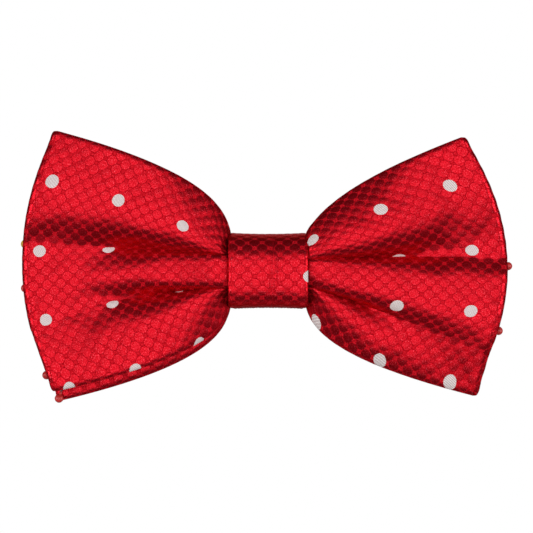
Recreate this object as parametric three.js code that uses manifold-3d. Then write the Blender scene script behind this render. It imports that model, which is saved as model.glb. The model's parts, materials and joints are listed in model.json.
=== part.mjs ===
// A pre-tied bow tie with its adjustable neckband, in millimetres, +Z up.
// The origin is the middle of the neck opening. The bow faces -Y, and +X is the viewer's right.
import * as THREE from "three";
import Module from "manifold-3d";

const wasm = await Module();
wasm.setup();

const rad = THREE.MathUtils.degToRad;
const { lerp, smoothstep } = THREE.MathUtils;

// ---- Driving dimensions -------------------------------------------------------------------

const GAP = 0.35; // between two pieces that touch on the real tie

// The neckband is a pressed cloth strap that runs round the neck on one circle.
const band = {
  radius: 59,
  thickness: 0.8,
  height: 14.4,
  layerStep: 1.2, // from the middle of one layer to the middle of the next
};

// Angles round the neck, from the knot (0) towards +X.
const eyeAngle = rad(-160); // the bar that the eye swings on
const hookAngle = rad(183.5); // the bar that the hook swings on
const sliderAngle = rad(140);

const stitchedEnd = 12; // length of strap turned back and sewn behind the eye
const hookStub = 6; // length of strap turned back at the hook, before the tail starts
const tailEnd = 10; // length of tail turned back and sewn behind the slider
const barRadius = 0.5;
const loopRadius = barRadius + GAP + band.thickness / 2;

// Each bow is a flat sewn tube of cloth with a strip of interlining inside, bent into a loop.
const strip = {
  half: 1.0, // half the thickness of the sewn tube
  cavity: 0.6, // half the thickness of the space inside it
  lining: 0.25, // half the thickness of the interlining
  cavityInset: 0.4, // from the tube's edge to the space inside
  liningInset: 0.75, // from the tube's edge to the interlining
  endGap: 0.4, // half the slit where the two ends meet behind the pinch
};

// The bows are stacked forward from this plane, which lies just in front of the band.
const stackY = -(band.radius + band.thickness / 2 + GAP + 0.5 + GAP);
const pinch = { half: 6.4, spacing: 1.2, pleat: 1.8, x: 10.2 };

// top and bottom are the wing's corners, reach its furthest point and rise the edge's power curve.
const frontBow = {
  pinchDepth: 7.45,
  foldDepth: 10.2,
  foldRadius: 2.0,
  puff: 1.4,
  left: { side: -1, reach: 60.3, top: [52.6, 34.1], bottom: [52.9, -29.8], rise: [0.42, 0.43] },
  right: { side: 1, reach: 58.7, top: [47.8, 33.0], bottom: [50.8, -31.1], rise: [0.55, 0.44] },
};
const rearBow = {
  pinchDepth: 2.15,
  foldDepth: 1.2,
  foldRadius: 1.6,
  puff: 0.6,
  left: { side: -1, reach: 57.8, top: [50.0, 32.4], bottom: [52.2, -32.3], rise: [0.44, 0.4] },
  right: { side: 1, reach: 56.2, top: [46.0, 30.6], bottom: [49.0, -29.0], rise: [0.56, 0.46] },
};

// The knot is a sleeve over both bows and the band. Each layer says how far it is from the next.
const knot = { half: 9.9, height: 9.25, front: -74.9, back: -56, wall: 0.8 };
const knotLining = { half: 9.2, height: 8.15, front: -73.8, back: -57.1, wall: 0.4 };
const thread = { half: 1.4, height: 7.15, front: -72.8, wall: 0.5 };
const knotWaist = 0.3; // how far the sleeve is drawn in at its middle

// Ball-headed pins that spread the wings, between the two bows: the head's place, and the
// angle at which the shaft runs in from it.
const pinHead = 1.12;
const pinShaft = 0.3;
const pinLength = 22;
const pinDepth = 5.5;
const pins = [
  { name: "left_upper", x: -60.4, z: 6.6, angle: 20, colour: 0xc9a021 },
  { name: "left_middle", x: -60.4, z: -4.4, angle: 15, colour: 0xb31b1b },
  { name: "left_lower", x: -55.1, z: -26.0, angle: 75, colour: 0xb31b1b },
  { name: "left_corner", x: -52.0, z: -31.8, angle: 75, colour: 0xb31b1b },
  { name: "right_upper", x: 59.6, z: 1.1, angle: 180, colour: 0xb31b1b },
  { name: "right_lower", x: 57.3, z: -15.0, angle: 165, colour: 0xb31b1b },
];

const bandHalf = band.height / 2;
const railInner = bandHalf + 0.45; // inside face of the rails beside the strap
const railOuter = 9.2;

// ---- Materials ----------------------------------------------------------------------------

const finish = (color, roughness, metalness = 0) =>
  new THREE.MeshStandardMaterial({ color, roughness, metalness });
const cloth = finish(0xc8102e, 0.5);
const lining = finish(0xe9e4da, 0.9);
const sewing = finish(0xa50d24, 0.7);
const metal = finish(0xc9ccd0, 0.3, 1);
const steel = finish(0xb8bcc2, 0.25, 1);

// ---- Solids -------------------------------------------------------------------------------

const tie = new THREE.Group();

function addMesh(name, geometry, material, parent = tie) {
  const mesh = new THREE.Mesh(geometry, material);
  mesh.name = name;
  parent.add(mesh);
  return mesh;
}

// A geometry's triangles as a solid for joining and cutting.
function toSolid(geometry) {
  const flat = geometry.index ? geometry.toNonIndexed() : geometry;
  const position = flat.getAttribute("position");
  const keys = new Map();
  const vertices = [];
  const triVerts = new Uint32Array(position.count);
  for (let i = 0; i < position.count; i++) {
    const point = [position.getX(i), position.getY(i), position.getZ(i)];
    const key = point.map((v) => Math.round(v * 1e4)).join(",");
    if (!keys.has(key)) {
      keys.set(key, keys.size);
      vertices.push(...point);
    }
    triVerts[i] = keys.get(key);
  }
  const vertProperties = new Float32Array(vertices);
  return new wasm.Manifold(new wasm.Mesh({ numProp: 3, vertProperties, triVerts }));
}

function toGeometry(solid) {
  const mesh = solid.getMesh();
  const geometry = new THREE.BufferGeometry();
  geometry.setAttribute("position", new THREE.BufferAttribute(mesh.vertProperties, 3));
  geometry.setIndex(new THREE.BufferAttribute(mesh.triVerts, 1));
  return geometry;
}

const joined = (...geometries) =>
  toGeometry(geometries.map(toSolid).reduce((all, next) => all.add(next)));

const box = (x0, x1, y0, y1, z0, z1) =>
  new THREE.BoxGeometry(x1 - x0, y1 - y0, z1 - z0).translate(
    (x0 + x1) / 2,
    (y0 + y1) / 2,
    (z0 + z1) / 2,
  );

const uprightBar = (x, y, halfHeight) =>
  new THREE.CylinderGeometry(barRadius, barRadius, 2 * halfHeight, 12)
    .rotateX(Math.PI / 2)
    .translate(x, y, 0);

// A plan outline in X and Y, extruded from -half to half in Z.
const upright = (shape, half) =>
  new THREE.ExtrudeGeometry(shape, {
    depth: 2 * half,
    bevelEnabled: false,
    curveSegments: 8,
  }).translate(0, 0, -half);

// A solid lofted through rings of points. Where holes are given, it is a tube with open ends.
function loft(rings, holes) {
  const triangles = [];
  const quad = (a, b, c, d) => triangles.push(a, b, c, a, c, d);
  const skin = (set, outward) => {
    for (let i = 0; i + 1 < set.length; i++)
      for (let k = 0; k < set[i].length; k++) {
        const n = (k + 1) % set[i].length;
        if (outward) quad(set[i][k], set[i + 1][k], set[i + 1][n], set[i][n]);
        else quad(set[i][k], set[i][n], set[i + 1][n], set[i + 1][k]);
      }
  };
  const cap = (ring, hole, first) => {
    const count = hole ? ring.length : ring.length / 2 - 1;
    for (let k = 0; k < count; k++) {
      const n = (k + 1) % ring.length;
      const near = hole ? hole[k] : ring[ring.length - 1 - k];
      const far = hole ? hole[n] : ring[ring.length - 2 - k];
      if (first) quad(ring[k], ring[n], far, near);
      else quad(ring[n], ring[k], near, far);
    }
  };
  skin(rings, true);
  if (holes) skin(holes, false);
  cap(rings[0], holes?.[0], true);
  cap(rings.at(-1), holes?.at(-1), false);
  return new THREE.BufferGeometry().setFromPoints(outwards(triangles));
}

// The triangles, turned round if they enclose a negative volume.
function outwards(triangles) {
  const cross = new THREE.Vector3();
  let volume = 0;
  for (let i = 0; i < triangles.length; i += 3)
    volume += triangles[i].dot(cross.crossVectors(triangles[i + 1], triangles[i + 2]));
  return volume < 0 ? triangles.slice().reverse() : triangles;
}

// ---- The two bows -------------------------------------------------------------------------

// Three pleats across the wing: 0 in the valleys and at the edges, 1 on the ridges.
const pleat = (across) => 1 - Math.abs(((((across + 1) * 3) % 2) + 2) % 2 - 1);

// A point of the bow's loop. along runs from the knot (0) to the fold (1), across from the
// bottom edge (-1) to the top edge (1), turn from the front panel (90 degrees) round the fold
// to the back panel (-90), and offset from the middle of the strip outwards.
function bowPoint(bow, wing, along, across, turn, offset) {
  const corner = across > 0 ? wing.top : wing.bottom;
  const fold = lerp(wing.reach, corner[0], across * across) - bow.foldRadius;
  const top = lerp(pinch.half, wing.top[1], along ** wing.rise[0]);
  const bottom = lerp(-pinch.half, wing.bottom[1], along ** wing.rise[1]);
  const puff = bow.puff * Math.sin(Math.PI * along) ** 2;
  const half = lerp(pinch.spacing, bow.foldRadius, along) + puff;
  const middle = lerp(bow.pinchDepth, bow.foldDepth, smoothstep(along, 0, 0.4));
  const ridge = pinch.pleat * (1 - along) ** 1.5 * pleat(across);
  const out = Math.cos(turn) * (half + offset);
  const depth = middle + ridge + Math.sin(turn) * (half + offset);
  const x = lerp(pinch.x, fold, along) + (along === 1 ? out : 0);
  return new THREE.Vector3(wing.side * x, stackY - depth, lerp(bottom, top, (across + 1) / 2));
}

// The same point under the knot, where the bow is only pinched.
function pinchPoint(bow, x, across, turn, offset) {
  const depth = bow.pinchDepth + pinch.pleat * pleat(across) + Math.sin(turn) * (pinch.spacing + offset);
  return new THREE.Vector3(x, stackY - depth, across * pinch.half);
}

// Stations round the loop, from one end behind the pinch to the other.
function bowStations(bow) {
  const alongs = [0, 0.04, 0.1, 0.2, 0.35, 0.55, 0.8, 1];
  const folds = [60, 30, 0, -30, -60];
  const front = Math.PI / 2;
  const at = (wing, along, turn) => ({
    height: lerp(
      pinch.half,
      (wing.top[1] - wing.bottom[1]) / 2,
      along ** Math.max(...wing.rise),
    ),
    point: (across, offset) => bowPoint(bow, wing, along, across, turn, offset),
  });
  const under = (x, turn) => ({
    height: pinch.half,
    point: (across, offset) => pinchPoint(bow, x, across, turn, offset),
  });
  const half = (wing) => [
    ...alongs.map((along) => at(wing, along, front)),
    ...folds.map((turn) => at(wing, 1, rad(turn))),
    ...alongs.toReversed().map((along) => at(wing, along, -front)),
    under(wing.side * strip.endGap, -front),
  ];
  return [...half(bow.left).reverse(), under(0, front), ...half(bow.right)];
}

// Rings round the strip's cross-section at every station.
function stripRings(stations, offset, inset) {
  return stations.map(({ height, point }) => {
    const edge = 1 - inset / height;
    const acrosses = [-edge, -2 / 3, -1 / 3, 0, 1 / 3, 2 / 3, edge];
    return [
      ...acrosses.map((across) => point(across, offset)),
      ...acrosses.toReversed().map((across) => point(across, -offset)),
    ];
  });
}

function addBow(name, bow) {
  const stations = bowStations(bow);
  const outside = stripRings(stations, strip.half, 0);
  const inside = stripRings(stations, strip.cavity, strip.cavityInset);
  addMesh(name + "_bow_cloth", loft(outside, inside), cloth);
  const core = stripRings(stations, strip.lining, strip.liningInset);
  addMesh(name + "_bow_interlining", loft(core), lining);
}

addBow("front", frontBow);
addBow("rear", rearBow);

// ---- The knot -----------------------------------------------------------------------------

// A round-cornered section in Y and Z, with a larger corner at the front.
function sleeveSection(front, back, height, frontCorner, backCorner) {
  const path = new THREE.Path();
  path.moveTo(back, height - backCorner);
  path.absarc(back - backCorner, height - backCorner, backCorner, 0, Math.PI / 2, false);
  path.absarc(front + frontCorner, height - frontCorner, frontCorner, Math.PI / 2, Math.PI, false);
  path.absarc(front + frontCorner, frontCorner - height, frontCorner, Math.PI, 1.5 * Math.PI, false);
  path.absarc(back - backCorner, backCorner - height, backCorner, 1.5 * Math.PI, 2 * Math.PI, false);
  path.closePath();
  return path.getPoints(5).slice(0, -1);
}

// A sleeve along X with the given wall. waist pulls its middle in.
function sleeve({ half, height, front, back, wall }, frontCorner, backCorner, waist) {
  const stations = waist ? [-1, -0.5, 0, 0.5, 1] : [-1, 1];
  const ring = (share, inset) => {
    const pull = waist * (1 - share * share) + inset;
    return sleeveSection(
      front + pull,
      back - inset,
      height - pull,
      frontCorner - inset,
      backCorner - inset,
    ).map((p) => new THREE.Vector3(share * half, p.x, p.y));
  };
  return loft(
    stations.map((share) => ring(share, 0)),
    stations.map((share) => ring(share, wall)),
  );
}

addMesh("knot_wrap", sleeve(knot, 5.4, 2.2, knotWaist), cloth);
addMesh("knot_interlining", sleeve(knotLining, 4.2, 1.0, knotWaist), lining);
const threadRing = { ...thread, back: stackY + GAP + thread.wall };
addMesh("gather_thread", sleeve(threadRing, 3.4, 0.9, 0), sewing);

// Whip stitches close the sleeve underneath, just in front of its lower back corner.
const seamRadius = 0.25;
const seamPoints = Array.from({ length: 15 }, (_, i) => {
  const share = lerp(-0.86, 0.86, i / 14);
  const underneath = knotWaist * (1 - share * share) - knot.height;
  const slant = i % 2 ? 0.8 : -0.8;
  return new THREE.Vector3(share * knot.half, knot.back - 3.7 + slant, underneath - seamRadius - 0.05);
});
const seamPath = new THREE.CatmullRomCurve3(seamPoints, false, "catmullrom", 0.3);
const threadSection = new THREE.Shape().absarc(0, 0, seamRadius, 0, 2 * Math.PI, false);
addMesh(
  "knot_seam_thread",
  new THREE.ExtrudeGeometry(threadSection, {
    steps: 56,
    curveSegments: 3,
    extrudePath: seamPath,
  }),
  sewing,
);

// ---- The neckband -------------------------------------------------------------------------

const onBand = (radius, angle) =>
  new THREE.Vector2(radius * Math.sin(angle), -radius * Math.cos(angle));

// Points along the band from one angle to another, where radius is a function of the angle.
const bandRun = (radius, from, to, count) =>
  Array.from({ length: count + 1 }, (_, i) => {
    const angle = lerp(from, to, i / count);
    return onBand(radius(angle), angle);
  });

// Half a turn round an upright bar, from the neck side to the outside or back again. side is 1
// where the strap passes on the side of growing angles, and -1 on the other.
function barTurn(radius, angle, side, outwardsFirst) {
  const middle = onBand(radius, angle);
  const radial = onBand(1, angle);
  const tangent = new THREE.Vector2(Math.cos(angle), Math.sin(angle));
  return Array.from({ length: 9 }, (_, i) => {
    const turn = (Math.PI * i) / 8;
    const lift = (outwardsFirst ? 1 : -1) * Math.cos(turn) * loopRadius;
    return middle
      .clone()
      .addScaledVector(radial, lift)
      .addScaledVector(tangent, side * Math.sin(turn) * loopRadius);
  });
}

// A strap of the band's thickness and height that follows a plan line.
function strap(line) {
  const side = (i, distance) => {
    const before = line[Math.max(i - 1, 0)];
    const after = line[Math.min(i + 1, line.length - 1)];
    const along = after.clone().sub(before).normalize();
    return line[i].clone().add(new THREE.Vector2(-along.y, along.x).multiplyScalar(distance));
  };
  const half = band.thickness / 2;
  const outline = [
    ...line.map((_, i) => side(i, half)),
    ...line.map((_, i) => side(i, -half)).reverse(),
  ];
  return upright(new THREE.Shape(outline), bandHalf);
}

const arcOf = (length) => length / band.radius; // a length along the band as an angle
const flare = arcOf(8); // over this angle the strap moves out to pass round a bar
const innerRadius = band.radius - loopRadius; // of the layer that has turned back
const outerLayer = (angle) =>
  band.radius +
  loopRadius *
    (1 -
      smoothstep(angle, eyeAngle, eyeAngle + flare) +
      smoothstep(angle, hookAngle - flare, hookAngle));
const innerLayer = () => innerRadius;

const strapLine = [
  ...bandRun(innerLayer, eyeAngle + arcOf(stitchedEnd), eyeAngle + arcOf(0.5), 6),
  ...barTurn(band.radius, eyeAngle, -1, false),
  ...bandRun(outerLayer, eyeAngle + arcOf(0.5), eyeAngle + flare, 5),
  ...bandRun(outerLayer, eyeAngle + 1.5 * flare, hookAngle - 1.5 * flare, 64),
  ...bandRun(outerLayer, hookAngle - flare, hookAngle - arcOf(0.5), 5),
  ...barTurn(band.radius, hookAngle, 1, true),
  ...bandRun(innerLayer, hookAngle - arcOf(0.5), hookAngle - arcOf(hookStub), 3),
];
addMesh("neckband_strap", strap(strapLine), cloth);

// The tail runs back from the hook inside the strap, round the slider's middle bar.
const sliderBarRadius = innerRadius - loopRadius;
const sewnTail = (angle) =>
  lerp(
    sliderBarRadius - loopRadius,
    innerRadius - band.layerStep,
    smoothstep(angle, sliderAngle, sliderAngle + arcOf(5)),
  );
const tailLine = [
  ...bandRun(innerLayer, hookAngle - arcOf(hookStub + GAP), sliderAngle + arcOf(0.5), 20),
  ...barTurn(sliderBarRadius, sliderAngle, -1, true),
  ...bandRun(sewnTail, sliderAngle + arcOf(0.5), sliderAngle + arcOf(tailEnd), 6),
];
addMesh("strap_tail", strap(tailLine), cloth);

// Bar tacks sew each turned-back end down. They lie on the strap as a flat bar of stitches.
function bartack(name, radius, angle) {
  const tack = addMesh(name, box(-0.9, 0.9, -0.18, 0.18, -5.5, 5.5), sewing);
  const middle = onBand(radius, angle);
  tack.position.set(middle.x, middle.y, 0);
  tack.rotation.z = angle;
}
const tackLift = band.thickness / 2 + GAP + 0.18;
bartack("eye_bartack", band.radius + tackLift, eyeAngle + arcOf(stitchedEnd - 2));
bartack(
  "tail_bartack",
  innerRadius - band.layerStep - tackLift,
  sliderAngle + arcOf(tailEnd - 2),
);

// A frame on the band: X along it, Y towards the neck, Z up.
function bandFrame(radius, angle) {
  const frame = new THREE.Group();
  const middle = onBand(radius, angle);
  frame.position.set(middle.x, middle.y, 0);
  frame.rotation.z = angle;
  tie.add(frame);
  return frame;
}

// The slider's two end bars cross outside the strap, and its middle bar holds the tail inside.
function addSlider() {
  const depth = band.radius - sliderBarRadius; // from the strap in to the middle bar
  const outside = -(band.thickness / 2 + GAP);
  const rail = new THREE.Shape([
    new THREE.Vector2(-6, outside - 1),
    new THREE.Vector2(6, outside - 1),
    new THREE.Vector2(6, outside),
    new THREE.Vector2(4.6, outside),
    new THREE.Vector2(1.3, depth + 0.7),
    new THREE.Vector2(-1.3, depth + 0.7),
    new THREE.Vector2(-4.6, outside),
    new THREE.Vector2(-6, outside),
  ]);
  const railHalf = (railOuter - railInner) / 2;
  const railAt = (z) => upright(rail, railHalf).translate(0, 0, z);
  const endBar = (x) => box(x - 0.7, x + 0.7, outside - 1, outside, -railOuter, railOuter);
  const slider = joined(
    railAt(railInner + railHalf),
    railAt(-railInner - railHalf),
    endBar(-5.3),
    endBar(5.3),
    uprightBar(0, depth, railInner + 0.5),
  );
  addMesh("slide_adjuster", slider, metal, bandFrame(band.radius, sliderAngle));
}
addSlider();

// The hook and the eye lie on the chord between their two bars.
const chordHalf = (eyeAngle + 2 * Math.PI - hookAngle) / 2;
const closureAngle = hookAngle + chordHalf - 2 * Math.PI;
const barReach = band.radius * Math.sin(chordHalf); // from the middle of the closure to a bar
const closure = () => bandFrame(band.radius * Math.cos(chordHalf), closureAngle);

// The hook's finger is an arc round the hook's own bar, so it swings straight out of the eye.
function addHook() {
  const plate = 0.45;
  const crossBar = 2.1 - barReach; // its edge beside the strap
  const finger = { inner: barReach - 0.3, outer: barReach + 0.5, tip: rad(16.5) };
  const tongue = { under: -0.95, over: -1.75 };
  const shape = new THREE.Shape();
  shape.moveTo(crossBar, plate);
  shape.lineTo(crossBar + 1.8, plate);
  shape.lineTo(crossBar + 2.8, tongue.under);
  const start = Math.asin(tongue.under / finger.inner);
  const end = Math.asin(tongue.over / finger.outer);
  shape.absarc(-barReach, 0, finger.inner, start, finger.tip, false);
  shape.absarc(-barReach, 0, finger.outer, finger.tip, end, true);
  shape.lineTo(crossBar + 2.3, tongue.over);
  shape.lineTo(crossBar, -plate);
  const rail = (z) =>
    box(-barReach - 0.6, crossBar + 0.8, -plate, plate, z, z + railOuter - railInner);
  const hook = joined(
    uprightBar(-barReach, 0, railInner + 0.5),
    rail(railInner),
    rail(-railOuter),
    box(crossBar, crossBar + 1.8, -plate, plate, -railOuter, railOuter),
    upright(shape, 3),
  );
  addMesh("neckband_hook", hook, metal, closure());
}
addHook();

function addEye() {
  const half = 0.4;
  const crossBar = barReach - 2.1;
  const outline = new THREE.Shape([
    new THREE.Vector2(-2.2, -4.6),
    new THREE.Vector2(-1.6, -5.4),
    new THREE.Vector2(4.4, -railOuter),
    new THREE.Vector2(barReach + 0.6, -railOuter),
    new THREE.Vector2(barReach + 0.6, -railInner),
    new THREE.Vector2(crossBar, -railInner),
    new THREE.Vector2(crossBar, railInner),
    new THREE.Vector2(barReach + 0.6, railInner),
    new THREE.Vector2(barReach + 0.6, railOuter),
    new THREE.Vector2(4.4, railOuter),
    new THREE.Vector2(-1.6, 5.4),
    new THREE.Vector2(-2.2, 4.6),
  ]);
  const slot = new THREE.Path([
    new THREE.Vector2(-0.9, -4),
    new THREE.Vector2(-0.9, 4),
    new THREE.Vector2(3.4, 4),
    new THREE.Vector2(3.4, -4),
  ]);
  outline.holes.push(slot);
  const plate = upright(outline, half).rotateX(Math.PI / 2);
  const eye = joined(plate, uprightBar(barReach, 0, railInner + 0.5));
  addMesh("neckband_eye", eye, metal, closure());
}
addEye();

// ---- The pins -----------------------------------------------------------------------------

// A ball head with a blind hole, and a pointed steel shaft that stands in it.
function addPin({ name, x, z, angle, colour }) {
  const frame = new THREE.Group();
  frame.position.set(x, stackY - pinDepth, z);
  frame.rotation.y = -rad(angle);
  tie.add(frame);
  const hole = pinShaft + 0.3;
  const head = toSolid(new THREE.SphereGeometry(pinHead, 12, 8));
  const bore = toSolid(
    new THREE.CylinderGeometry(hole, hole, 2, 10).rotateZ(Math.PI / 2).translate(1, 0, 0),
  );
  addMesh("pin_head_" + name, toGeometry(head.subtract(bore)), finish(colour, 0.35), frame);
  const start = 0.35;
  const taper = 3;
  const profile = [
    new THREE.Vector2(0, start),
    new THREE.Vector2(pinShaft, start),
    new THREE.Vector2(pinShaft, pinLength - taper),
    new THREE.Vector2(0.05, pinLength),
    new THREE.Vector2(0, pinLength),
  ];
  const shaft = new THREE.LatheGeometry(profile, 10).rotateZ(-Math.PI / 2);
  addMesh("pin_shaft_" + name, shaft, steel, frame);
}
pins.forEach(addPin);

export default tie;
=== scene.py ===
"""The looks of a pre-tied bow tie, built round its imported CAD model, in metres.

The bow faces -Y and +X is the viewer's right. A place on the cloth is (s, t), with s along the
strip and t across it, and depth is how far a surface stands in front of the neckband.
"""
import json
import math

import bpy
import numpy as np
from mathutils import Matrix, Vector


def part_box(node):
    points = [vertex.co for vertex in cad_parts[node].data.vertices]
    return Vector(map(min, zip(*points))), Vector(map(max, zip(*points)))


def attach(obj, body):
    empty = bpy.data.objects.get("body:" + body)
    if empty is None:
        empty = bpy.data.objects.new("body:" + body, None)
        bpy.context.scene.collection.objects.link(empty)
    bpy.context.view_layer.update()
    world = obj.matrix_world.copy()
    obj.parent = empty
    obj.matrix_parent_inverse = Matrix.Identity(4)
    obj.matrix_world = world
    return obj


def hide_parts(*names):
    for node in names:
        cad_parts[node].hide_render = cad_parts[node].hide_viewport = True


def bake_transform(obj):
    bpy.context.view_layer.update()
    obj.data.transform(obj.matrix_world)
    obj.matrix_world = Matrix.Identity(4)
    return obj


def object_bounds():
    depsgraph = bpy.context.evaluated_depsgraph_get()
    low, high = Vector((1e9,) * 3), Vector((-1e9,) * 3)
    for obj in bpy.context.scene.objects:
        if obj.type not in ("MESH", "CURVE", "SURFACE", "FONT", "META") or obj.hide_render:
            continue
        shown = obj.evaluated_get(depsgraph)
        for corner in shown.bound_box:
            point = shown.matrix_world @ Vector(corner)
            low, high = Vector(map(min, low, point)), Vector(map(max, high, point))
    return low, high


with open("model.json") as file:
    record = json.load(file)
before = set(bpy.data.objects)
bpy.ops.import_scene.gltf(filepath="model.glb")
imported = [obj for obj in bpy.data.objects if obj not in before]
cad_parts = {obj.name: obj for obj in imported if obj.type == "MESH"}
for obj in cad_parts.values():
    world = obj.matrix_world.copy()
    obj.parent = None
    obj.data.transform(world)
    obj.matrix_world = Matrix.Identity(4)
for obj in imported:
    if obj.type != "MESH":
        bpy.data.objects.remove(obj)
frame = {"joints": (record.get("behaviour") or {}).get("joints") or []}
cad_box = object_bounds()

MM = 0.001
JOINTS = {joint["name"]: joint for joint in frame["joints"]}


def lerp(a, b, share):
    return a + (b - a) * share


def smoothstep(value, low, high):
    x = np.clip((value - low) / (high - low), 0, 1)
    return x * x * (3 - 2 * x)


# ---- Node trees ----------------------------------------------------------------------------


LOOK = "_look"  # what a look's name adds to its slot's


class Surface:
    """The look of one of the record's material slots, whose nodes are written as calls.

    A value may be a number or a socket."""

    def __init__(self, slot):
        self.material = bpy.data.materials.new(slot + LOOK)
        self.material.use_nodes = True
        self.tree = self.material.node_tree
        self.shader = self.tree.nodes["Principled BSDF"]

    def node(self, kind, **settings):
        node = self.tree.nodes.new("ShaderNode" + kind)
        for name, value in settings.items():
            setattr(node, name, value)
        return node

    def feed(self, socket, value):
        if isinstance(value, bpy.types.NodeSocket):
            self.tree.links.new(value, socket)
        else:
            socket.default_value = value

    def set(self, **values):
        """Sets the shader's sockets: base_color=... is the socket Base Color."""
        for name, value in values.items():
            words = name.split("_")
            title = " ".join(word if word == "IOR" else word.capitalize() for word in words)
            self.feed(self.shader.inputs[title], value)

    def math(self, operation, *values):
        node = self.node("Math", operation=operation)
        for socket, value in zip(node.inputs, values):
            self.feed(socket, value)
        return node.outputs[0]

    def ramp(self, value, low, high, out_low=0.0, out_high=1.0):
        """A smooth step of value from low to high."""
        node = self.node("MapRange", interpolation_type="SMOOTHSTEP")
        for socket, item in zip(node.inputs, (value, low, high, out_low, out_high)):
            self.feed(socket, item)
        return node.outputs[0]

    def mix(self, factor, first, second):
        """A mix of two colours."""
        node = self.node("Mix", data_type="RGBA")
        for name, value in (("Factor_Float", factor), ("A_Color", first), ("B_Color", second)):
            socket = next(item for item in node.inputs if item.identifier == name)
            self.feed(socket, value)
        return next(item for item in node.outputs if item.identifier == "Result_Color")

    def coordinates(self, uv=None):
        if uv:
            return self.node("UVMap", uv_map=uv).outputs[0]
        return self.node("TexCoord").outputs["Object"]

    def split(self, vector):
        node = self.node("SeparateXYZ")
        self.feed(node.inputs[0], vector)
        return node.outputs[0], node.outputs[1], node.outputs[2]

    def join(self, x, y, z=0.0):
        node = self.node("CombineXYZ")
        for socket, value in zip(node.inputs, (x, y, z)):
            self.feed(socket, value)
        return node.outputs[0]

    def scaled(self, vector, scale):
        node = self.node("VectorMath", operation="MULTIPLY")
        self.feed(node.inputs[0], vector)
        self.feed(node.inputs[1], scale)
        return node.outputs[0]

    def noise(self, vector, scale, detail=2.0, roughness=0.5):
        node = self.node("TexNoise")
        self.feed(node.inputs["Vector"], vector)
        self.feed(node.inputs["Scale"], scale)
        self.feed(node.inputs["Detail"], detail)
        self.feed(node.inputs["Roughness"], roughness)
        return node.outputs["Fac"]

    def bump(self, height, distance, strength=1.0):
        node = self.node("Bump")
        self.feed(node.inputs["Height"], height)
        self.feed(node.inputs["Distance"], distance)
        self.feed(node.inputs["Strength"], strength)
        self.feed(self.shader.inputs["Normal"], node.outputs[0])


def rgb(red, green, blue):
    return (red, green, blue, 1.0)


# ---- The jacquard --------------------------------------------------------------------------

CELL = 3.54 * MM  # from one honeycomb cell to the next along the strip or across it
CELL_RADIUS = 0.352  # in cells, as are the sizes below
CROWN_RADIUS = 0.36  # where a cell's raised crown ends
STUD_RADIUS = 0.085  # of the small satin studs between the cells
SPOT_STEP = 5
SPOT_RADIUS = 0.45
THREAD_STEP = 0.042  # half the spacing of the floats
TWILL_STEP = 0.07  # half the spacing of the twill lines
CELL_CORNER = 1.04  # how much nearer its slanting sides are than in a regular octagon


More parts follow.
